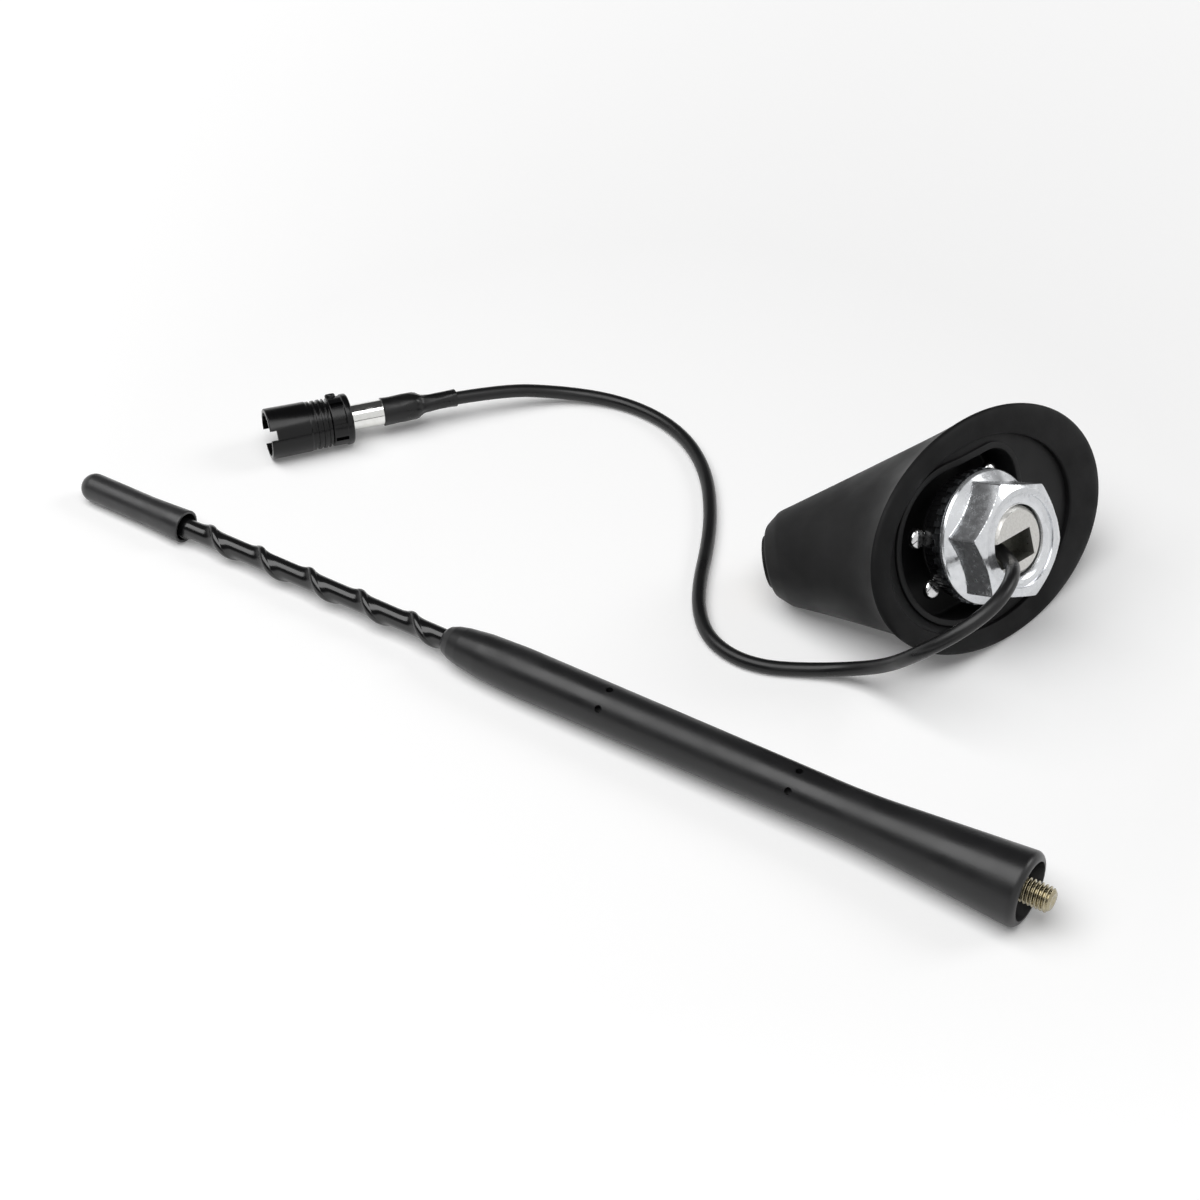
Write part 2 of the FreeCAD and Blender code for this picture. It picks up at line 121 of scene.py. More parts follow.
# %% What all finishes share
def blank(name):
    """A new material, its node tree and the Object coordinates that its patterns read."""
    material = bpy.data.materials.new(name)
    material.use_nodes = True
    tree = material.node_tree
    return material, tree, add(tree, "ShaderNodeTexCoord").outputs["Object"]


def filled(tree, patches, span, colours, roughness, relief, depth_mm):
    """Fills a tree's shader. Span says between which noise values the roughness changes."""
    surface = tree.nodes["Principled BSDF"]
    tone = add(tree, "ShaderNodeMix", {SHARE: patches, FIRST: linear(colours[0]), SECOND: linear(colours[1])},
               data_type="RGBA")
    gloss = add(tree, "ShaderNodeMapRange", {
        "Value": patches, "From Min": span[0], "From Max": span[1],
        "To Min": roughness[0], "To Max": roughness[1]})
    bump = add(tree, "ShaderNodeBump", {"Height": relief, "Strength": 1.0, "Distance": depth_mm * MM})
    tree.links.new(tone.outputs[MIXED], surface.inputs["Base Color"])
    tree.links.new(gloss.outputs["Result"], surface.inputs["Roughness"])
    tree.links.new(bump.outputs["Normal"], surface.inputs["Normal"])
    return surface


# %% [markdown]
# A moulded skin isn't one flat colour. The spark-eroded mould leaves a fine grit, handling leaves faint
# cloudy patches that are a little shinier, and the black drifts by a shade. Grit of 0.1 mm is too fine to
# show at this distance, so it is drawn at the size given here.

# %% Moulded plastics and rubbers
def moulded(name, colour, worn, roughness, grit_mm, depth_mm, cloud_mm=9.0, swing=0.08, shine=0.5):
    """A moulded skin: clouds from its colour to a worn and shinier one, over a fine grit."""
    material, tree, at = blank(name)
    cloud = add(tree, "ShaderNodeTexNoise", {"Vector": at, "Scale": 1 / (cloud_mm * MM), "Detail": 3.0})
    grit = add(tree, "ShaderNodeTexNoise", {"Vector": at, "Scale": 1 / (grit_mm * MM), "Detail": 2.0})
    surface = filled(tree, cloud.outputs["Fac"], (0.3, 0.7), (colour, worn),
                     (roughness + swing, roughness - swing), grit.outputs["Fac"], depth_mm)
    surface.inputs["Specular IOR Level"].default_value = shine
    return material


# soft-touch rubber: satin, so that the lamp lies on it as one broad grey band
grip_rubber = moulded("soft_touch_rubber", "#151516", "#1c1c1d", 0.37, 0.35, 0.012)
# handled cap rubber: paler than the grip, in small dusty clouds
cap_rubber = moulded("matt_cap_rubber", "#1d1d1e", "#2e2e2f", 0.36, 0.30, 0.014, cloud_mm=4.0, shine=0.7)
# extruded sleeve on the whip: glossy, with a narrow bright bar in each turn of the rib
whip_sleeve = moulded("gloss_whip_sleeve", "#0b0b0c", "#111112", 0.19, 0.60, 0.003, swing=0.04, shine=0.65)
# ABS from a spark-eroded mould: deep black and matt, with hardly a reflection
cover_abs = moulded("matt_black_abs", "#0b0b0c", "#121213", 0.54, 0.40, 0.014,
                    cloud_mm=14.0, swing=0.12, shine=0.26)
# EPDM rubber of the seal: the dullest black of them all
seal_rubber = moulded("epdm_seal_rubber", "#09090a", "#111112", 0.56, 0.50, 0.016,
                      cloud_mm=7.0, swing=0.12, shine=0.18)
# moulded nylon: waxy, with soft lights on the collar's fine ribs
pocket_nylon = moulded("black_nylon_collar", "#0e0e0f", "#161617", 0.32, 0.50, 0.010)
# ABS from a polished mould: the plug's gloss black with crisp lights on its edges
shell_abs = moulded("gloss_plug_abs", "#070708", "#0c0c0d", 0.22, 0.70, 0.004,
                    cloud_mm=5.0, swing=0.06, shine=0.32)
# shrunk polyolefin: satin, and its puckers break the light
shrink_sleeve = moulded("heat_shrink_polyolefin", "#0c0c0d", "#141415", 0.30, 0.80, 0.020,
                        cloud_mm=3.0, shine=0.4)
# extruded PVC: an even satin line of light along the lead
cable_pvc = moulded("satin_pvc_jacket", "#101011", "#171718", 0.34, 0.50, 0.006, cloud_mm=6.0, shine=0.42)
# polythene round the centre pin: white, but coloured a dull dark grey as painted shade inside the plug
insulator_pe = moulded("polythene_insulator", "#1e1e1e", "#2a2a2a", 0.45, 0.50, 0.008)
print("materials with the moulded ones:", len(bpy.data.materials))

# %% [markdown]
# Plated metal shows its making. Barrel plating leaves small dull specks, fresh zinc carries a thin milky
# film, and a die casting has a sandy skin. The metal keeps a clean colour, while the specks vary its
# roughness and its height, so one noise does for both.

# %% Plated and cast metals
def plated(name, colour, dull, roughness, speck_mm, depth_mm, swing=0.08, metal=1.0):
    """A plated or cast metal: specks that are dull in colour, rougher and uneven in height."""
    material, tree, at = blank(name)
    speck = add(tree, "ShaderNodeTexNoise", {
        "Vector": at, "Scale": 1 / (speck_mm * MM), "Detail": 4.0, "Roughness": 0.6}).outputs["Fac"]
    surface = filled(tree, speck, (0.35, 0.65), (colour, dull),
                     (roughness - swing, roughness + swing), speck, depth_mm)
    surface.inputs["Metallic"].default_value = metal
    return material


# zinc plate: nearly white, and a little less than metal under its milky film
zinc_plate = plated("bright_zinc_plate", "#f1f2f4", "#d3d6da", 0.20, 1.2, 0.005, metal=0.85)
# nickel plate gone yellow: warm worn lights along the screw's thread
stud_nickel = plated("yellowed_nickel_plate", "#bfb79f", "#91876d", 0.22, 0.9, 0.006)
# plated spring steel: the washer's ears mirror the white sheet
spring_plate = plated("bright_spring_plate", "#e6e6e6", "#c9c9c9", 0.16, 1.0, 0.006)
# phosphated steel: dark grey and half dull
dark_steel = plated("phosphated_steel", "#8d8f92", "#54575a", 0.38, 0.6, 0.012)
# die-cast zinc: pale, sandy and without clear reflections
cast_zinc = plated("sandy_die_casting", "#ebeae7", "#b9b7b2", 0.38, 0.45, 0.030, swing=0.12)
# tinned copper: a bright, slightly soft mirror on the crimp
tin_plate = plated("tinned_crimp_sleeve", "#f2f2f0", "#dadad6", 0.14, 1.4, 0.005)
# turned brass: yellow, deep in the nose and in the plug
turned_brass = plated("turned_brass", "#c9a85c", "#a3823f", 0.28, 0.7, 0.006)
print("materials with the metals:", len(bpy.data.materials))

# %% [markdown]
# ## Where each group lies
# The mast, the base and the plug were each drawn upright in a frame of their own and then laid down. Their
# places could be typed in, but the record's mounting points already hold them: a point and a direction
# for the mast's screw, the roof face and the plug.

# %% Three frames
def axes(origin, *directions):
    """A frame in millimetres, from its origin in metres and its three directions."""
    columns = [*directions, origin]
    return Matrix([[column[row] for column in columns] for row in range(3)] + [[0, 0, 0, 1]]) \
        @ Matrix.Scale(MM, 4)


def turned(degrees, axis):
    return Matrix.Rotation(math.radians(degrees), 4, axis)


mounts = {m["name"]: (Vector(m["pos_m"]), Vector(m["axis"]).normalized()) for m in frame["record"]["mounts"]}
ACROSS, UP = Vector((0, 1, 0)), Vector((0, 0, 1))
RIM = 223.6                     # from the mast's tip to its flared rim
screw_at, along = mounts["mast_screw"]
MAST = axes(screw_at - along * RIM * MM, along, ACROSS, along.cross(ACROSS))

ROLL = math.radians(-5.5)       # of the base round its own stud
roof_at, out = mounts["roof_face"]
level = Vector((-out.y, out.x, 0)).normalized()
ahead = -(level * math.cos(ROLL) + out.cross(level) * math.sin(ROLL))
BASE = axes(roof_at, ahead, (-out).cross(ahead), -out)
FOOT_X = -4.0                   # the middle of the oval foot
NOSE_AT = Vector((20.6, 0, 34.0))
LEAN = math.atan2(NOSE_AT.x - FOOT_X, NOSE_AT.z)
NOSE = BASE @ Matrix.Translation(NOSE_AT) @ Matrix.Rotation(LEAN, 4, "Y")

LIP = 2.4                       # from the plug's mounting point to its lip
mouth_at, mouth = mounts["plug_mouth"]
PLUG = axes(mouth_at + mouth * LIP * MM, -mouth, UP.cross(-mouth), UP)
UPRIGHT = turned(-90, "Y")      # turns an outline's X axis to a frame's Z axis
print("roof side of the base faces", [round(v, 3) for v in out])

# %% [markdown]
# ## From outline to piece
# Most pieces here were turned or moulded round an axis, so a half outline is all they need. Each corner of
# an outline carries its own rounding radius: a real edge is never perfectly sharp, and the thin highlight
# along it is what makes a small part look made rather than drawn. A Bevel modifier rounds edges as well,
# but it gives all of them the same radius.

# %% Outlines and skins
def rounded(corners, steps=5, share=0.48):
    """(x, r, radius) corners to points. A curve takes at most a share of the edges beside its corner."""
    points = []
    for i, (x, r, radius) in enumerate(corners):
        here = Vector((x, r))
        if radius <= 0 or i in (0, len(corners) - 1):
            points.append(here)
            continue
        a = Vector(corners[i - 1][:2]) - here
        b = Vector(corners[i + 1][:2]) - here
        cut = min(radius / math.tan(a.angle(b) / 2), share * a.length, share * b.length)
        start, end = here + a.normalized() * cut, here + b.normalized() * cut
        for k in range(steps + 1):
            t = k / steps
            points.append(start * (1 - t) ** 2 + here * 2 * t * (1 - t) + end * t ** 2)
    return points


def mesh_of(name, bm):
    mesh = bpy.data.meshes.new(name)
    bm.to_mesh(mesh)
    bm.free()
    return mesh


def skin(name, rows, place, loop=False):
    """A closed skin through rows of points. A row of one point is a pole, and loop joins the two ends."""
    bm = bmesh.new()
    rings = [[bm.verts.new(place @ Vector(p)) for p in row] for row in rows]
    for a, b in zip(rings, rings[1:] + (rings[:1] if loop else [])):
        n = max(len(a), len(b))
        for i in range(n):
            j = (i + 1) % n
            corners = [a[i % len(a)], a[j % len(a)], b[j % len(b)], b[i % len(b)]]
            unique = list(dict.fromkeys(corners))
            if len(unique) > 2:
                bm.faces.new(unique)
    bmesh.ops.recalc_face_normals(bm, faces=bm.faces)
    return mesh_of(name, bm)


def hoop(x, radius, count):
    """A ring round the X axis. A radius that changes round it is a rule for the share of a turn."""
    points = []
    for i in range(count):
        angle = math.tau * i / count
        r = radius(i / count) if callable(radius) else radius
        points.append((x, r * math.cos(angle), r * math.sin(angle)))
    return points


def lathe(name, corners, place, count=96, loop=False):
    """Turns an outline of (x, r, radius) corners about the frame's X axis."""
    rows = [hoop(p.x, p.y, 1 if p.y < 1e-6 else count) for p in rounded(corners)]
    return skin(name, rows, place, loop)


# %% [markdown]
# A finished piece is smooth but for its sharp edges. It stands for one solid of the frame and rides on the
# body that moves it. Some solids need no new shape: their loose triangles are only welded, so that they can
# be shaded smoothly.


def piece(name, mesh, material, node, body="antenna", sharp=38):
    """Makes an object of a mesh, with its finish, its body and the solid that it replaces."""
    mesh.shade_smooth()
    mesh.set_sharp_from_angle(angle=math.radians(sharp))
    mesh.materials.clear()
    mesh.materials.append(material)
    obj = linked(name, mesh)
    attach(obj, body)
    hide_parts(node)
    print(name, len(mesh.polygons), "faces")
    return obj


def welded(name, node):
    """A copy of a solid's loose triangles with their corners joined."""
    source = frame["nodes"][node].data
    corners, index = {}, []
    for v in source.vertices:
        index.append(corners.setdefault(tuple(round(c, 7) for c in v.co), len(corners)))
    faces = [[index[i] for i in p.vertices] for p in source.polygons]
    mesh = bpy.data.meshes.new(name)
    mesh.from_pydata(list(corners), [], [f for f in faces if len(set(f)) == 3])
    return mesh


# %% [markdown]
# ## The lead
# A thin screened cable leaves the slot in the base's stud, goes over the nut in one springy arch and then
# snakes over the table to the plug. One smooth spline through the route's points is the whole shape, and a
# round bevel gives it its thickness.

# %% The lead
LEAD_ROUTE = [
    (65.67, 18.3, 21.87), (72.16, 12.65, 25.13), (77.23, 5.15, 28.47), (77.89, -3.28, 27.29),
    (74.08, -10.63, 23.66), (67.28, -14.8, 17.69), (59.0, -10.6, 7.4), (50.2, -11.1, 2.6),
    (42.7, -14.6, 1.45), (36.2, -17.9, 1.45), (29.4, -18.7, 1.45), (22.3, -16.4, 1.45),
    (16.3, -10.3, 1.45), (11.7, -2.2, 1.45), (7.9, 6.8, 1.45), (2.8, 16.8, 1.45), (-4.8, 27.8, 1.45),
    (-13.8, 35.7, 1.45), (-24.1, 39.9, 1.45), (-35.7, 40.2, 1.45), (-47.1, 35.2, 2.4),
    (-57.53, 24.3, 5.6), (-70.6, 7.86, 5.6)]
LEAD_R = 1.45
line = bpy.data.curves.new("lead", "CURVE")
line.dimensions = "3D"
spline = line.splines.new("NURBS")
spline.points.add(len(LEAD_ROUTE) - 1)
for point, p in zip(spline.points, LEAD_ROUTE):
    point.co = (*(c * MM for c in p), 1.0)
spline.order_u = 3
spline.use_endpoint_u = True
line.resolution_u = 12
line.bevel_depth = LEAD_R * MM
line.bevel_resolution = 7
line.use_fill_caps = True
line.materials.append(cable_pvc)
lead = linked("lead", line)
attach(lead, "antenna")
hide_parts("coax_cable")
print("lead drawn through", len(LEAD_ROUTE), "points")

# %% [markdown]
# ## The mast's tip and whip
# A rubber cap closes the whip's end. Its mouth is a little wider than the rod, so a dark gap shows there.

# %% Tip cap
ROD_R, ROD_START, ROD_END = 1.95, 12, 107       # the rod reaches into the cap and into the grip
CAP_R, CAP_END = 3.1, 28.1
CAP_MOUTH_R, CAP_MOUTH = 2.9, 25.1


def dome(base, height, r):
    """The outline of a dome that starts on the axis and is r wide at its base."""
    arc = [math.radians(7.5 * k) for k in range(13)]
    return [(base - height * math.cos(a), r * math.sin(a), 0) for a in arc]


cap_outline = dome(CAP_R, CAP_R, CAP_R) + [(18.1, CAP_R, 12), (23.1, 3.3, 12), (CAP_END, 3.55, 0.6)]
cap_outline += [(CAP_END, CAP_MOUTH_R, 0.25), (CAP_MOUTH, CAP_MOUTH_R, 0), (CAP_MOUTH, ROD_R, 0)]
cap_outline += [(ROD_START, ROD_R, 0), (ROD_START, 0, 0)]
piece("tip_cap", lathe("tip_cap", cap_outline, MAST), cap_rubber, "mast_tip")

# %% [markdown]
# The whip is a rod in a glossy sleeve, and a round rib winds along it to stop it from whistling in the
# wind. The rib follows a path, so Geometry Nodes make it: a spiral carries a round section, and the
# tree's inputs are the sizes that a maker would ask for.

# %% Geometry Nodes to plain meshes
def tree_with(name, inputs):
    """An empty tree with named inputs, and the sockets at its two ends."""
    tree = bpy.data.node_groups.new(name, "GeometryNodeTree")
    for label, kind in inputs:
        tree.interface.new_socket(label, in_out="INPUT", socket_type=kind)
    tree.interface.new_socket("Geometry", in_out="OUTPUT", socket_type="NodeSocketGeometry")
    return tree, tree.nodes.new("NodeGroupInput").outputs, tree.nodes.new("NodeGroupOutput").inputs


def evaluated(host):
    """An object after its modifiers, as a plain mesh."""
    bpy.context.view_layer.update()
    graph = bpy.context.evaluated_depsgraph_get()
    return bpy.data.meshes.new_from_object(host.evaluated_get(graph))


def grown(name, tree, values, place):
    """Runs a tree on an empty object and gives its result as a plain mesh in its place."""
    host = linked(name + "_host", bpy.data.meshes.new(name + "_host"))
    modifier = host.modifiers.new("grow", "NODES")
    modifier.node_group = tree
    for item in tree.interface.items_tree:
        if item.in_out == "INPUT":
            modifier[item.identifier] = values[item.name]
    made = evaluated(host)
    host.modifiers.remove(modifier)
    bpy.data.objects.remove(host)
    made.transform(place)
    made.name = name
    return made


# %% A winding rib
rib_tree, given, result = tree_with("winding_rib", [
    ("Turns", "NodeSocketFloat"), ("Pitch", "NodeSocketFloat"), ("Path Radius", "NodeSocketFloat"),
    ("Rib Radius", "NodeSocketFloat"), ("Finish", "NodeSocketMaterial")])
rise = add(rib_tree, "ShaderNodeMath", {0: given["Turns"], 1: given["Pitch"]}, operation="MULTIPLY")
spiral = add(rib_tree, "GeometryNodeCurveSpiral", {
    "Resolution": 48, "Rotations": given["Turns"], "Start Radius": given["Path Radius"],
    "End Radius": given["Path Radius"], "Height": rise.outputs[0], "Reverse": True})
section = add(rib_tree, "GeometryNodeCurvePrimitiveCircle", {"Resolution": 24, "Radius": given["Rib Radius"]})
tube = add(rib_tree, "GeometryNodeCurveToMesh", {
    "Curve": spiral.outputs[0], "Profile Curve": section.outputs["Curve"], "Fill Caps": True})
solid = add(rib_tree, "GeometryNodeRealizeInstances", {"Geometry": tube.outputs[0]})
painted = add(rib_tree, "GeometryNodeSetMaterial", {
    "Geometry": solid.outputs[0], "Material": given["Finish"]})
rib_tree.links.new(painted.outputs[0], result["Geometry"])

RIB_START, RIB_TURNS, RIB_PITCH = 26.3, 5.2, 13.0
RIB_PHASE = 170.4 / 360         # where round the rod it starts, as a share of a turn
RIB_R, RIB_SUNK = 1.0, 0.35     # its section, and how deep its middle lies in the rod
wind = MAST @ Matrix.Translation((RIB_START, 0, 0)) @ turned(90, "Y") @ turned(90 - 360 * RIB_PHASE, "Z")
rib = grown("rib", rib_tree, {"Turns": RIB_TURNS, "Pitch": RIB_PITCH, "Path Radius": ROD_R - RIB_SUNK,
                              "Rib Radius": RIB_R, "Finish": whip_sleeve}, wind)
print("rib faces", len(rib.polygons))

# %% [markdown]
# The sleeve doesn't meet the rib in a hard corner: it was drawn over rod and rib, so it climbs to the rib
# in a soft fillet on both sides. Its radius follows a rule of how far off the rib a point lies, and a fine
# grid of rings takes that radius.

# %% The rod, joined with its rib
def joined(name, *meshes):
    bm = bmesh.new()
    for mesh in meshes:
        bm.from_mesh(mesh)
    return mesh_of(name, bm)


FILLET, FILLET_WIDE = 0.5, 1.1  # its height at the rib, and how far out it reaches
SLANT = 0.69                    # turns a distance along the rod to one across the slanting rib
ROD_ROUND = 64


def sleeve_radius(x, share):
    """Radius of the whip's sleeve at a place along the rod and a share of a turn round it."""
    turns_off = (x - RIB_START) / RIB_PITCH - share - RIB_PHASE
    off = (turns_off - round(turns_off)) * RIB_PITCH * SLANT
    return ROD_R + FILLET * math.exp(-(off / FILLET_WIDE) ** 2)


rod_rows = [[(ROD_START, 0, 0)], hoop(ROD_START, ROD_R, ROD_ROUND)]
for x in (24 + 0.25 * k for k in range(293)):
    rod_rows.append(hoop(x, lambda share: sleeve_radius(x, share), ROD_ROUND))
rod_rows += [hoop(ROD_END, ROD_R, ROD_ROUND), [(ROD_END, 0, 0)]]
piece("whip", joined("whip", skin("rod", rod_rows, MAST), rib), whip_sleeve, "mast_whip")

# %% [markdown]
# ## The grip
# A long soft sleeve swells from the whip, runs straight and flares to the rim that sits on the base. Small
# round marks show where pins held the core while the rubber was moulded. They could be painted dots, but
# they are true holes and show it in other views, so a Boolean cuts them.

# %% One mesh cut out of another
def carved(mesh, tool):
    hosts = [linked(m.name + "_host", m) for m in (mesh, tool)]
    cut = hosts[0].modifiers.new("cut", "BOOLEAN")
    cut.object, cut.operation, cut.solver = hosts[1], "DIFFERENCE", "EXACT"
    left = evaluated(hosts[0])
    for obj in hosts:
        bpy.data.objects.remove(obj)
    return left


# %% Grip sleeve with pin holes
GRIP_R, GRIP_START = 4.95, 95.1
FLARE_R, RIM_EDGE = 5.9, 1.5                        # the rim's edge is a round of this radius
SCREW_START, SHANK, SHANK_R = 220.4, 13, 3.2        # the screw's shank sits in the grip's core
grip_outline = [(ROD_END, 0, 0), (ROD_END, ROD_R, 0), (GRIP_START, ROD_R, 0), (GRIP_START, 2.3, 0.15),
                (95.8, 2.9, 0.6), (97.3, 3.5, 1.5), (99.6, 4.0, 4), (104.6, 4.6, 12), (113, GRIP_R, 60)]
grip_outline += [(x, GRIP_R, 0) for x in range(120, 178, 8)] + [(189, GRIP_R, 300)]
for k in range(11):
    a = math.radians(-4 + 9.4 * k)
    grip_outline.append((RIM - RIM_EDGE + RIM_EDGE * math.sin(a), FLARE_R + RIM_EDGE * math.cos(a), 0))
grip_outline += [(RIM, 5.8, 0.1), (SCREW_START, 5.2, 0.5), (SCREW_START, SHANK_R, 0),
                 (SCREW_START - SHANK, SHANK_R, 0), (SCREW_START - SHANK, 0, 0)]

PIN_R, PIN_LONG, PIN_AT = 0.75, 2.6, 4.65           # PIN_AT is the middle of a pin, off the axis
pins = bmesh.new()
for x in (133.8, 175.7):
    for around in (86.7, 140.7, 266.7, 320.7):
        spot = MAST @ turned(around, "X") @ Matrix.Translation((x, PIN_AT, 0)) @ turned(90, "X")
        bmesh.ops.create_cone(pins, cap_ends=True, segments=24, radius1=PIN_R, radius2=PIN_R,
                              depth=PIN_LONG, matrix=spot)
grip_mesh = carved(lathe("grip", grip_outline, MAST, count=128), mesh_of("pins", pins))
piece("grip", grip_mesh, grip_rubber, "mast_grip")

# %% [markdown]
# ## The mast's screw
# An M5 screw with a pitch of 0.8 mm. Its thread could be a section swept along a helix, but that leaves
# ragged ends. Here it follows a rule: the radius depends on how far round and how far along a point is. A
# grid of points with that radius gives a clean helix with a chamfered start and a centre dimple.

# %% Screw with its thread
CHAMFER, CHAMFER_SLOPE = 0.75, 1.1      # taken off the radius at the screw's end
FLANK_TOP, FLANK_SLOPE = 1.25, 3.0      # a sixth of each pitch is flat crest, a twelfth on each side root


def threaded(name, start, end, crest, root, pitch, place, count=72, step=0.05):
    """A shank and a screw that turns from root to crest once in each pitch."""
    rows = [[(start - SHANK, 0, 0)], hoop(start - SHANK, SHANK_R, count), hoop(start, SHANK_R, count)]
    steps = int((end - start) / step)
    for k in range(steps + 1):
        x = start + (end - start) * k / steps
        chamfer = min(crest, crest - CHAMFER + (end - x) * CHAMFER_SLOPE)

        def radius(share):
            off_crest = abs((x / pitch - share) % 1.0 - 0.5)
            ridge = max(0.0, min(1.0, FLANK_TOP - off_crest * FLANK_SLOPE))
            return min(chamfer, root + (crest - root) * ridge)

        rows.append(hoop(x, radius, count))
    dimple = [hoop(end, 1.15, count), hoop(end - 0.35, 0.55, count), [(end - 0.5, 0, 0)]]
    return skin(name, rows + dimple, place)


screw = threaded("mast_screw", SCREW_START, end=228.1, crest=2.5, root=2.02, pitch=0.8, place=MAST)
piece("mast_screw", screw, stud_nickel, "mast_stud", sharp=60)

# %% [markdown]
# ## The base cover
# The cover is an oval foot that leans forward into a round nose. Its sides are straight lines from the oval
# to the nose's circle, so one skin of rings does it, from the pocket in the underside, over the raised rim
# and the foot's lip and up to the nose. The rim dips at its front end, as it does on the moulding.

# %% Rings of the cover
AROUND = 192
TURN = [math.tau * i / AROUND for i in range(AROUND)]
FOOT_LONG, FOOT_WIDE = 34.3, 23.4                   # half axes of the oval foot
WELL_LONG, WELL_WIDE, WELL_X = 26.9, 18.6, -1.3     # half axes and middle of the opening in the seal


def oval(a, b, x, z):
    return [(x + a * math.cos(t), b * math.sin(t), z) for t in TURN]


def foot_oval(inset, z):
    return oval(FOOT_LONG - inset, FOOT_WIDE - inset, FOOT_X, z)


def well_oval(grow, z):
    return oval(WELL_LONG + grow, WELL_WIDE + grow, WELL_X, z)


def disc_ring(r, z):
    return oval(r, r, 0, z)


def nose_ring(r, z):
    lean = Matrix.Rotation(LEAN, 4, "Y")
    return [tuple(NOSE_AT + lean @ Vector(p)) for p in disc_ring(r, z)]


def between(a, b, share):
    return [tuple(Vector(p) * (1 - share) + Vector(q) * share) for p, q in zip(a, b)]


def bend(a, corner, b, steps=6):
    """Rings that turn smoothly from one to another round a corner ring."""
    shares = [k / steps for k in range(steps + 1)]
    return [between(between(a, corner, s), between(corner, b, s), s) for s in shares]


print("rings of", AROUND, "points")

# %% Outline of the pocket
POCKET_BACK, POCKET_TURN = -14.2, 4.3       # where it ends behind, and where its half circle starts in front
POCKET_HALF, POCKET_SOFT = 15.2, 6.5        # half its width, and the radius of its corners behind


def in_pocket(x, y, grow):
    """Whether a point lies in the pocket: a half circle in front and a box with round corners behind."""
    back, half, soft = POCKET_BACK - grow, POCKET_HALF + grow, POCKET_SOFT + grow
    if x > POCKET_TURN:
        return math.hypot(x - POCKET_TURN, y) < half
    if x < back + soft and abs(y) > half - soft:
        return math.hypot(x - back - soft, abs(y) - half + soft) < soft
    return x > back and abs(y) < half


def pocket_ring(grow, z, dip=0.0):
    """The pocket's outline, grown outwards: each ray is halved towards the edge. Its front end may dip."""
    points = []
    for t in TURN:
        low, high = 5.0, 40.0
        for _ in range(30):
            middle = (low + high) / 2
            if in_pocket(middle * math.cos(t), middle * math.sin(t), grow):
                low = middle
            else:
                high = middle
        points.append((low * math.cos(t), low * math.sin(t), z + dip * max(0.0, math.cos(t))))
    return points


print("pocket reaches %.1f mm ahead" % pocket_ring(0, 0)[0][0])

# %% Cover
DEEP, LEDGE = 8.4, 1.2          # heights of the pocket's floor and of the ledge that the seal sits on
WALL, LOW, DIP = 1.4, 0.6, 2.2  # thickness and height of the raised rim, and how far its front end dips
foot, waist, nose = foot_oval(0, LEDGE), foot_oval(2.0, 5.0), nose_ring(9.8, 0)
rows = [[(0, 0, DEEP)], pocket_ring(-0.8, DEEP)]
rows += bend(pocket_ring(-0.7, DEEP), pocket_ring(0, DEEP), pocket_ring(0, DEEP - 0.7), 3)
rows += bend(pocket_ring(0, 0.9, DIP), pocket_ring(0, LOW, DIP), pocket_ring(0.3, LOW, DIP), 3)
rows += bend(pocket_ring(1.1, LOW, DIP), pocket_ring(WALL, LOW, DIP), pocket_ring(WALL, 0.9, DIP), 3)
rows += [pocket_ring(WALL, LEDGE, DIP), well_oval(0, LEDGE), foot]
rows += bend(between(foot, waist, 0.1), waist, between(waist, nose, 0.2), 10)
rows += [between(waist, nose, s / 24) for s in range(6, 23)]
# the nose: its edge, its chamfered face, and the round step that the mast's rim covers
SOCKET_R, SOCKET_LOW, SOCKET_TOP = 4.0, -9.9, 4.1
rows += bend(between(waist, nose, 0.98), nose, nose_ring(9.45, 0.43))
rows += bend(nose_ring(7.8, 2.46), nose_ring(7.2, 3.2), nose_ring(6.4, 3.2))
rows += bend(nose_ring(5.55, 3.2), nose_ring(5.4, 3.2), nose_ring(5.4, 3.35), 2)
rows += bend(nose_ring(5.4, 3.9), nose_ring(5.4, SOCKET_TOP), nose_ring(5.2, SOCKET_TOP), 2)
rows += [nose_ring(SOCKET_R, SOCKET_TOP), nose_ring(SOCKET_R, SOCKET_LOW), nose_ring(0, SOCKET_LOW)[:1]]
piece("cover", skin("base_cover", rows, BASE), cover_abs, "base_cover", sharp=45)

# %% [markdown]
# A rubber ring seals the foot against the roof. Its outer edge is crowned, because the soft lip bulges, and
# that gives it a broad soft shade instead of a line. The insert in the nose takes the mast's screw.

# %% Seal under the foot and socket in the nose
seal_rows = bend(well_oval(0.5, 0), well_oval(0, 0), well_oval(0, 0.5), 4)
seal_rows += [well_oval(0, LEDGE), foot]
seal_rows += bend(foot_oval(0, 1.0), foot_oval(0.1, 0), oval(31.2, 20.4, FOOT_X, 0), 10)
piece("seal_ring", skin("seal_ring", seal_rows, BASE, loop=True), seal_rubber, "roof_seal")
TAP_R = 2.1                     # the hole that the M5 thread is cut in
socket = lathe("socket", [(SOCKET_LOW, 0, 0), (SOCKET_LOW, SOCKET_R, 0), (SOCKET_TOP, SOCKET_R, 0.15),
                          (SOCKET_TOP, 2.6, 0), (3.6, TAP_R, 0), (-6.9, TAP_R, 0), (-8.1, 0, 0)],
               NOSE @ UPRIGHT, count=64)
piece("mast_insert", socket, turned_brass, "mast_socket")
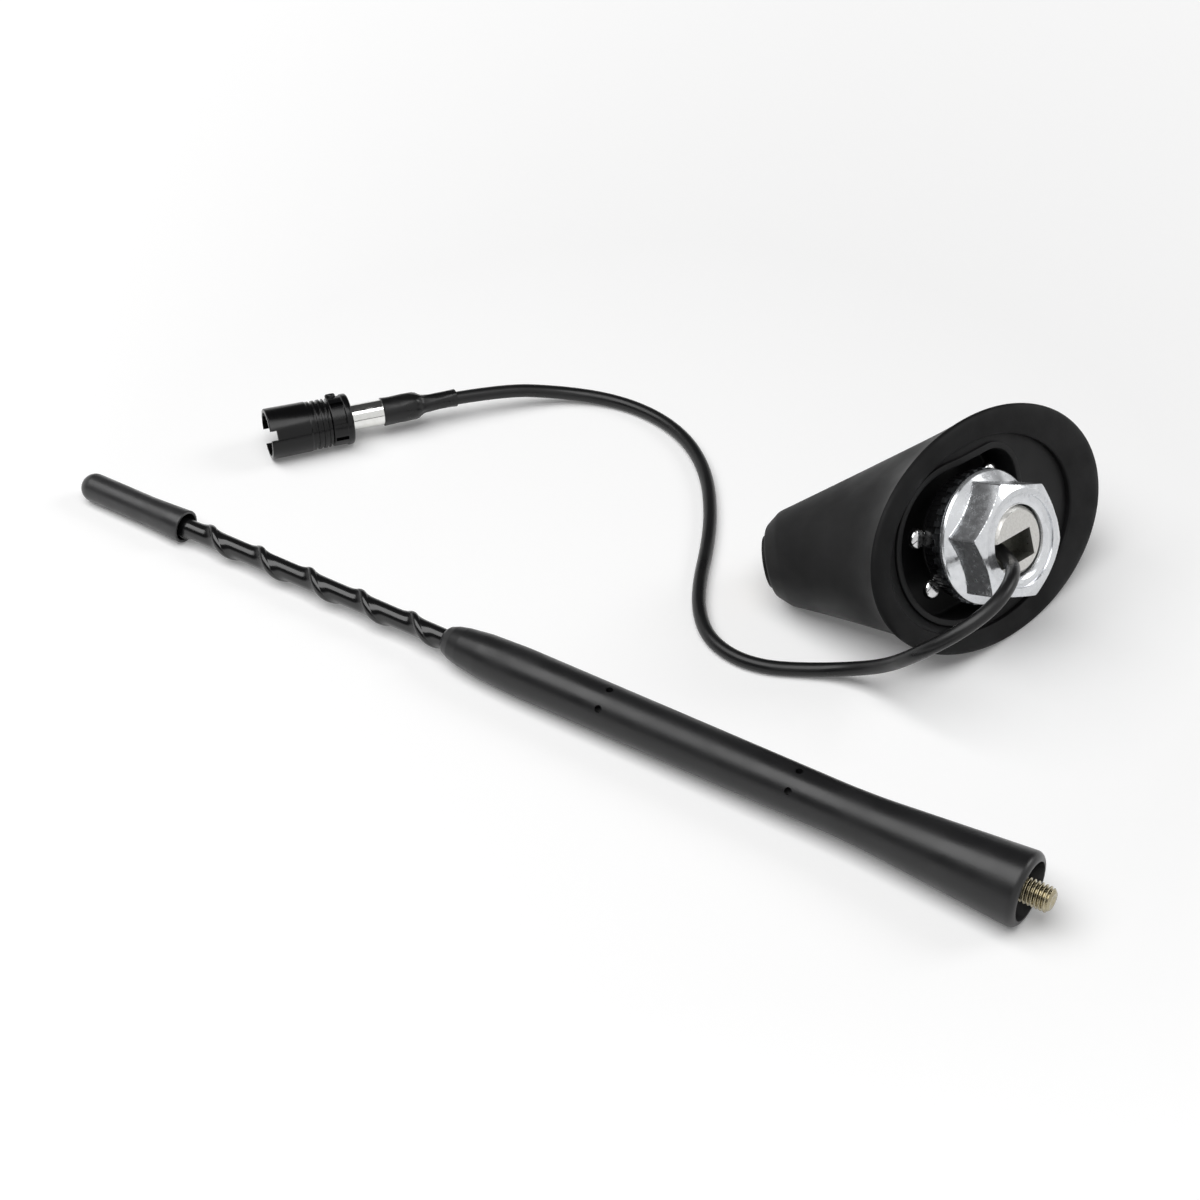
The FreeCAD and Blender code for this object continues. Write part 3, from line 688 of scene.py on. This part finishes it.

# %% [markdown]
# ## Stud, washers and nut
# The die-cast stud comes out of the pocket with a slot for the lead. The slot's walls get painted shade:
# the finish darkens to grey with the depth under the stud's end.

# %% Stud with its slot
def painted_shade_below(material, surface_point, way, depth_mm, colour):
    """Paints shade into a finish: blends it to a darker colour with the depth under a face."""
    tree = material.node_tree
    base_colour = tree.nodes["Principled BSDF"].inputs["Base Color"]
    at = add(tree, "ShaderNodeTexCoord").outputs["Object"]
    height = add(tree, "ShaderNodeVectorMath", {0: at, 1: way}, operation="DOT_PRODUCT")
    face = surface_point.dot(way)
    depth = add(tree, "ShaderNodeMapRange", {
        "Value": height.outputs["Value"], "From Min": face - 0.2 * MM, "From Max": face - depth_mm * MM})
    tone = add(tree, "ShaderNodeMix", {
        SHARE: depth.outputs["Result"], FIRST: base_colour.links[0].from_socket, SECOND: linear(colour)},
        data_type="RGBA")
    tree.links.new(tone.outputs[MIXED], base_colour)


STUD_END = BASE @ Vector((0, 0, -10.2))
# painted shade: the slot's walls darken to grey with the depth under the stud's end
painted_shade_below(cast_zinc, STUD_END, out, 2.5, "#8e8e89")
piece("stud", welded("stud", "base_core"), cast_zinc, "base_core", sharp=30)

# %% [markdown]
# A bright washer with domed ears, a black ribbed collar and a toothed washer sit on the stud under the
# nut. Ribs and teeth repeat round a ring, so Geometry Nodes place them: each point of a circle carries a
# block that faces outwards. The same tree later cuts the windows of the plug.

# %% Teeth round a ring in Geometry Nodes
tooth_tree, given, result = tree_with("ring_of_teeth", [
    ("Count", "NodeSocketInt"), ("Radius", "NodeSocketFloat"), ("Tooth Size", "NodeSocketVector"),
    ("Finish", "NodeSocketMaterial")])
hub = add(tooth_tree, "GeometryNodeMeshCircle", {"Vertices": given["Count"], "Radius": given["Radius"]})
tooth = add(tooth_tree, "GeometryNodeMeshCube", {"Size": given["Tooth Size"]})
outwards = add(tooth_tree, "GeometryNodeInputPosition")
facing = add(tooth_tree, "FunctionNodeAlignRotationToVector", {"Vector": outwards.outputs[0]}, axis="X")
teeth = add(tooth_tree, "GeometryNodeInstanceOnPoints", {
    "Points": hub.outputs["Mesh"], "Instance": tooth.outputs["Mesh"], "Rotation": facing.outputs[0]})
real = add(tooth_tree, "GeometryNodeRealizeInstances", {"Geometry": teeth.outputs[0]})
coat = add(tooth_tree, "GeometryNodeSetMaterial", {"Geometry": real.outputs[0], "Material": given["Finish"]})
tooth_tree.links.new(coat.outputs[0], result["Geometry"])
print("ring_of_teeth has", len(tooth_tree.nodes), "nodes")

# %% Washers
BORE_R, BORE_BEVEL = 7.3, 0.2


def plate(name, r, low, high, soft):
    """A flat washer between two heights, with a bevelled bore and a rounded outer edge."""
    arc = [math.radians(22.5 * k) for k in range(5)]
    rings = [disc_ring(BORE_R + BORE_BEVEL, low), disc_ring(BORE_R, low + BORE_BEVEL),
             disc_ring(BORE_R, high - BORE_BEVEL), disc_ring(BORE_R + BORE_BEVEL, high)]
    rings += [disc_ring(r + soft * (math.sin(a) - 1), high - soft * (1 - math.cos(a))) for a in arc]
    rings += [disc_ring(r + soft * (math.cos(a) - 1), low + soft * (1 - math.sin(a))) for a in arc]
    return skin(name, rings, BASE, loop=True)


def toothed(name, finish, count, r, size, height):
    """Teeth or ribs round the stud, at a height in the base's frame."""
    values = {"Count": count, "Radius": r, "Finish": finish, "Tooth Size": size}
    return grown(name, tooth_tree, values, BASE @ Matrix.Translation((0, 0, height)))


CLAW_LOW, CLAW_HIGH = 3.2, 4.4
EAR_R, EAR_AT, EAR_DOME = 2.1, 13.9, 1.2    # radius of an ear, its distance from the axis, its dome's height
EAR_ROLL = -5.8                             # the washer's own turn on the stud
EAR_ANGLES = (-23.9, 23.9, 180 - 37.3, 180 + 37.3)


def ear(angle):
    """One pressed ear of the claw washer: a flat back and a domed front."""
    spot = (EAR_AT * math.cos(math.radians(angle)), EAR_AT * math.sin(math.radians(angle)), 0)
    outline = dome(3.9, EAR_DOME, EAR_R) + [(CLAW_HIGH, EAR_R, 0.2), (CLAW_HIGH, 0, 0)]
    return lathe("ear", outline, BASE @ Matrix.Translation(spot) @ UPRIGHT, count=48)


claw_mesh = joined("claw_washer", plate("claw_disc", 11.95, CLAW_LOW, CLAW_HIGH, 0.3),
                   *[ear(EAR_ROLL + angle) for angle in EAR_ANGLES])
piece("clawed_washer", claw_mesh, spring_plate, "claw_washer", "washers")
COLLAR_R, COLLAR_LOW = 12.65, 0.3
collar_mesh = joined("collar", plate("collar_ring", COLLAR_R, COLLAR_LOW, CLAW_LOW, 0.25),
                     toothed("collar_ribs", pocket_nylon, 72, COLLAR_R, (0.3, 0.35, 2.3), 1.75))
piece("collar", collar_mesh, pocket_nylon, "spacer_collar", "washers")
star_mesh = joined("star", plate("star_ring", 12.9, -1.3, COLLAR_LOW, 0.2),
                   toothed("star_teeth", dark_steel, 34, 13.15, (0.9, 1.1, 1.3), -0.5))
piece("star_washer", star_mesh, dark_steel, "toothed_washer", "washers")

# %% [markdown]
# The nut is a hexagon that a cone has chamfered, on a round flange. At each angle and height its surface is
# the larger of the flange and the smaller of hexagon and cone, so a fine grid of radii gives the curved
# edges of the chamfer. A Boolean of three solids would give them too, but with poor faces to shade.

# %% Flange nut
NUT_SEAT, NUT_HIGH, NUT_TURN = -1.6, 9.6, math.radians(20.3)
FLAT, CORNER = 11.0, 12.6           # half across the flats, and half across the rounded corners
CONE_R, CONE_SLOPE = 10.4, 1.77     # of the chamfer, from the outer face
FLANGE_R, FLANGE_HIGH, FLANGE_SLOPE = 13.5, 3.0, 2.5 / 1.9
EDGE, EDGE_IN = 0.5, 0.4            # height of the rounding under the flange's edge, and how far it goes in
SHOULDER, SHOULDER_IN = 1.1, 0.3    # the same for the rounding over it, measured from the seat


def flange_radius(down):
    """Radius of the nut's flange at a depth under its seat: a rounded edge and then a cone."""
    if down < EDGE:
        return FLANGE_R - EDGE_IN + EDGE_IN * math.sqrt(1 - (1 - down / EDGE) ** 2)
    if down < SHOULDER:
        return FLANGE_R - SHOULDER_IN * ((down - EDGE) / (SHOULDER - EDGE)) ** 2
    return FLANGE_R - SHOULDER_IN - (down - SHOULDER) * FLANGE_SLOPE if down < FLANGE_HIGH else 0.0


def nut_ring(radius, z, count=432):
    """A ring at a height, from a radius or from a rule for the angle."""
    points = []
    for t in (math.tau * i / count for i in range(count)):
        r = radius(t) if callable(radius) else radius
        points.append((r * math.cos(t + NUT_TURN), r * math.sin(t + NUT_TURN), z))
    return points


def nut_side(down):
    """The nut's outer ring at a depth under its seat."""
    cone = CONE_R + (NUT_HIGH - down) * CONE_SLOPE

    def radius(t):
        hexagon = min(FLAT / math.cos(t % math.radians(60) - math.radians(30)), CORNER)
        return max(min(hexagon, cone), flange_radius(down))

    return nut_ring(radius, NUT_SEAT - down)


FACE = NUT_SEAT - NUT_HIGH
FACE_AND_BORE = [(10.3, FACE), (9.3, FACE), (9.18, FACE + 0.1), (9.15, FACE + 0.4), (7.9, FACE + 0.4),
                 (7.75, FACE + 0.45), (7.15, FACE + 1.0), (7.15, NUT_SEAT)]
nut_rows = [nut_side(NUT_HIGH * k / 96) for k in range(97)] + [nut_ring(r, z) for r, z in FACE_AND_BORE]
piece("nut", skin("nut", nut_rows, BASE, loop=True), zinc_plate, "mounting_nut", "nut", sharp=28)

# %% [markdown]
# ## The plug
# A glossy shell with two notches in its mouth, three fine grooves, a ring of windows and a round lug near
# its back flange. The shell is turned first. Then the windows and the notches are cut into it, because they
# have crisp corners that a turned outline can't give.

# %% Plug shell
MOUTH_R, SHELL_R, BODY_R = 4.8, 5.6, 5.35       # its mouth, its lip and back flange, and its body
wall = [(0, MOUTH_R, 0), (0, SHELL_R, 0.3), (8.9, 5.5, 0.4), (9.2, BODY_R, 0.2)]
for x in (9.9, 11.1, 12.3):
    wall += [(x, BODY_R, 0.1), (x, 5.0, 0.1), (x + 0.6, 5.0, 0.1), (x + 0.6, BODY_R, 0.1)]
wall += [(13.1, BODY_R, 0.2), (13.1, 4.55, 0.2), (13.8, 4.55, 0.2), (13.8, BODY_R, 0.3), (16.8, BODY_R, 0.2)]
wall += [(17.0, SHELL_R, 0.5), (18.4, SHELL_R, 0.6)]
CRIMP_R, CRIMP_START = 2.8, 16
wall += [(18.4, CRIMP_R, 0), (CRIMP_START, CRIMP_R, 0), (CRIMP_START, 3.6, 0), (10.5, 3.6, 0)]
wall += [(10.5, 4.4, 0), (5.2, 4.4, 0), (5.2, MOUTH_R, 0)]
turned_shell = lathe("shell_wall", wall, PLUG, count=128, loop=True)

WINDOW_AT, WINDOW_TURN = 15.5, 12
window_place = PLUG @ Matrix.Translation((WINDOW_AT, 0, 0)) @ turned(90, "Y") @ turned(90 + WINDOW_TURN, "Z")
windows = grown("windows", tooth_tree, {"Count": 8, "Radius": 5.4, "Finish": shell_abs,
                                        "Tooth Size": (1.4, 1.1, 2.8)}, window_place)
notches = bmesh.new()
for around, deep, wide in ((150.0, 1.4, 2.1), (318.0, 4.0, 3.2)):
    spot = PLUG @ turned(around, "X") @ Matrix.Translation(((deep - 1) / 2, 5.2, 0))
    bmesh.ops.create_cube(notches, matrix=spot @ Matrix.Diagonal((deep + 1, 2.4, wide, 1)))

LUG_R, LUG_LOW, LUG_TOP = 1.15, 4.6, 6.1
lug = lathe("lug", [(LUG_LOW, 0, 0), (LUG_LOW, LUG_R, 0), (LUG_TOP, LUG_R, 1.0), (LUG_TOP, 0, 0)],
            PLUG @ Matrix.Translation((15.0, 0, 0)) @ turned(55, "X") @ turned(90, "Z"), count=32)
shell_mesh = joined("plug_shell", carved(carved(turned_shell, windows), mesh_of("notches", notches)), lug)
shell = piece("shell", shell_mesh, shell_abs, "plug_shell", sharp=30)

# %% [markdown]
# A bright crimp sleeve holds the cable's screen, and a heat-shrink sleeve covers its end. Shrunk film
# puckers where it changes size, so a few waves run round it, strongest at the step down to the lead. A
# noise in the bump would be quicker, but the puckers show on the outline.

# %% Inside of the plug, crimp and shrink sleeve
core = piece("insulator", welded("insulator", "plug_insulator"), insulator_pe, "plug_insulator", sharp=30)
pin = piece("centre_pin", welded("centre_pin", "plug_contact"), turned_brass, "plug_contact", sharp=30)
CRIMP_END = 33
crimp_outline = [(CRIMP_START, 0, 0), (CRIMP_START, CRIMP_R, 0.2)]
crimp_outline += [(x, CRIMP_R, 0) for x in range(18, CRIMP_END, 2)] + [(CRIMP_END, CRIMP_R, 0.2)]
crimp_outline += [(CRIMP_END, LEAD_R, 0), (31, LEAD_R, 0), (31, 0, 0)]
crimp = piece("crimp", lathe("crimp", crimp_outline, PLUG, count=64), tin_plate, "crimp_ferrule")


def sleeve_ring(x, r, pucker=0.0):
    """A ring of the shrink sleeve, with three waves that drift along it."""
    def radius(share):
        t = math.tau * share
        waves = math.sin(5 * t + 0.7 * x) + 0.6 * math.sin(9 * t - 1.3 * x) + 0.5 * math.sin(3 * t + 2.1 * x)
        return r + pucker * waves

    return hoop(x, radius, 96)


SHRINK_START, SHRINK_END = 25.7, 42.5
SHRINK_PROFILE = [      # place along the plug, radius, height of the puckers
    (SHRINK_START, 3.02, 0.02), (25.8, 3.14, 0.03), (26.2, 3.1, 0.03), (27.5, 3.05, 0.03), (29.0, 3.03, 0.04),
    (30.5, 3.06, 0.05), (32.0, 3.04, 0.05), (33.0, 2.98, 0.06), (33.8, 2.74, 0.08), (34.3, 2.4, 0.09),
    (34.8, 2.1, 0.08), (35.4, 1.98, 0.06), (36.5, 1.9, 0.04), (38.0, 1.86, 0.03), (39.5, 1.84, 0.03),
    (41.0, 1.86, 0.03), (42.2, 1.92, 0.04), (SHRINK_END, 1.9, 0.05)]
shrink_rows = [sleeve_ring(CRIMP_END, LEAD_R), sleeve_ring(CRIMP_END, CRIMP_R)]
shrink_rows += [sleeve_ring(SHRINK_START, CRIMP_R)]
shrink_rows += [sleeve_ring(*station) for station in SHRINK_PROFILE] + [sleeve_ring(SHRINK_END, LEAD_R)]
shrink_mesh = skin("shrink_sleeve", shrink_rows, PLUG, loop=True)
shrink = piece("shrink_sleeve", shrink_mesh, shrink_sleeve, "heat_shrink", sharp=50)

# %% The lead runs from the stud to the plug
print("the lead runs from the stud to the plug")

# %% [markdown]
# ## Table and light
# The parts lie on a white sheet under one large soft lamp overhead, with a small lamp behind them. The
# sheet sends less light back to the parts than the eye sees on it, so that black skins stay black. To the
# camera it fades to plain white with the distance, as the picture's background does.

# %% Table
SHEET_HALF = 3.0                        # metres
LIFT = 0.13                             # a little glow, where the camera or a gloss sees the sheet
FADE_FROM, FADE_TO, FADE = 0.12, 1.1, 0.85      # metres from the middle, and the glow at the far end
bm = bmesh.new()
bmesh.ops.create_grid(bm, x_segments=1, y_segments=1, size=SHEET_HALF)
table = linked("table", mesh_of("table", bm))
paper, sheet_tree, place = blank("white_paper")
sheet_tree.nodes.remove(sheet_tree.nodes["Principled BSDF"])
rays = add(sheet_tree, "ShaderNodeLightPath").outputs
sheet = add(sheet_tree, "ShaderNodeMix", {
    SHARE: rays["Is Diffuse Ray"], FIRST: linear("#f4f4f4"), SECOND: linear("#9c9c9c")}, data_type="RGBA")
matt = add(sheet_tree, "ShaderNodeBsdfDiffuse", {"Color": sheet.outputs[MIXED]})
seen = add(sheet_tree, "ShaderNodeMath", {0: rays["Is Camera Ray"], 1: rays["Is Glossy Ray"]},
           operation="MAXIMUM")
lift = add(sheet_tree, "ShaderNodeMath", {0: seen.outputs[0], 1: LIFT}, operation="MULTIPLY")
away = add(sheet_tree, "ShaderNodeVectorMath", {0: place}, operation="LENGTH")
fade = add(sheet_tree, "ShaderNodeMapRange", {
    "Value": away.outputs["Value"], "From Min": FADE_FROM, "From Max": FADE_TO, "To Max": FADE})
glow_level = add(sheet_tree, "ShaderNodeMath", {
    0: rays["Is Camera Ray"], 1: fade.outputs["Result"], 2: lift.outputs[0]}, operation="MULTIPLY_ADD")
glow = add(sheet_tree, "ShaderNodeEmission", {"Strength": glow_level.outputs[0]})
both = add(sheet_tree, "ShaderNodeAddShader", {0: matt.outputs[0], 1: glow.outputs[0]})
sheet_tree.links.new(both.outputs[0], sheet_tree.nodes["Material Output"].inputs["Surface"])
table.data.materials.append(paper)
print("table of", 2 * SHEET_HALF, "m")

# %% [markdown]
# The black skins show the overhead lamp as a broad grey band and the dark room as the deep tones. A
# photographer's white sweep behind the table and white walls at both sides are seen only in gloss, where
# they brighten metal and the lower edges. The camera itself sees a white room.

# %% Lamps and room
def lamp(name, spot, target, width, depth, watts):
    """A rectangular soft lamp, with its place and size in metres."""
    light = bpy.data.lights.new(name, "AREA")
    light.shape, light.size, light.size_y, light.energy = "RECTANGLE", width, depth, watts
    aimed(linked(name, light), spot, target)


lamp("overhead", (-0.27, -0.42, 1.0), (-0.27, -0.42, 0), width=1.5, depth=0.95, watts=14.6)
lamp("back_fill", (0.9, 0.9, 0.9), (0, 0, 0), width=0.6, depth=0.6, watts=4.0)
DIM, WALL_WHITE = 0.06, 0.8             # the room's own light, and how white its side walls are
room = bpy.data.worlds.new("room")
scene.world = room
room.use_nodes = True
room_tree = room.node_tree
sky = room_tree.nodes["Background"]
sky.inputs["Color"].default_value = linear("#ffffff")
way = add(room_tree, "ShaderNodeSeparateXYZ", {
    "Vector": add(room_tree, "ShaderNodeTexCoord").outputs["Generated"]}).outputs
# a direction's Z is 0 at the horizon and its X is 1 straight to the right
sweep = add(room_tree, "ShaderNodeMapRange", {
    "Value": way["Z"], "From Min": 0.05, "From Max": 0.25, "To Min": 1.0, "To Max": 0.0})
right = add(room_tree, "ShaderNodeMapRange", {
    "Value": way["X"], "From Min": 0.2, "From Max": 0.5, "To Max": WALL_WHITE})
left = add(room_tree, "ShaderNodeMapRange", {
    "Value": way["X"], "From Min": -0.75, "From Max": -0.9, "To Max": WALL_WHITE})
walls = add(room_tree, "ShaderNodeMath", {0: right.outputs["Result"], 1: left.outputs["Result"]},
            operation="MAXIMUM")
studio = add(room_tree, "ShaderNodeMath", {0: walls.outputs[0], 1: sweep.outputs["Result"]},
             operation="MAXIMUM")
rays = add(room_tree, "ShaderNodeLightPath").outputs
in_gloss = add(room_tree, "ShaderNodeMath", {0: rays["Is Glossy Ray"], 1: studio.outputs[0]},
               operation="MULTIPLY")
white = add(room_tree, "ShaderNodeMath", {0: rays["Is Camera Ray"], 1: in_gloss.outputs[0]},
            operation="MAXIMUM")
strength = add(room_tree, "ShaderNodeMath", {0: white.outputs[0], 1: 1 - DIM, 2: DIM},
               operation="MULTIPLY_ADD")
room_tree.links.new(strength.outputs[0], sky.inputs["Strength"])
print("room and lamps ready")

# %% Finish
print("scene built")
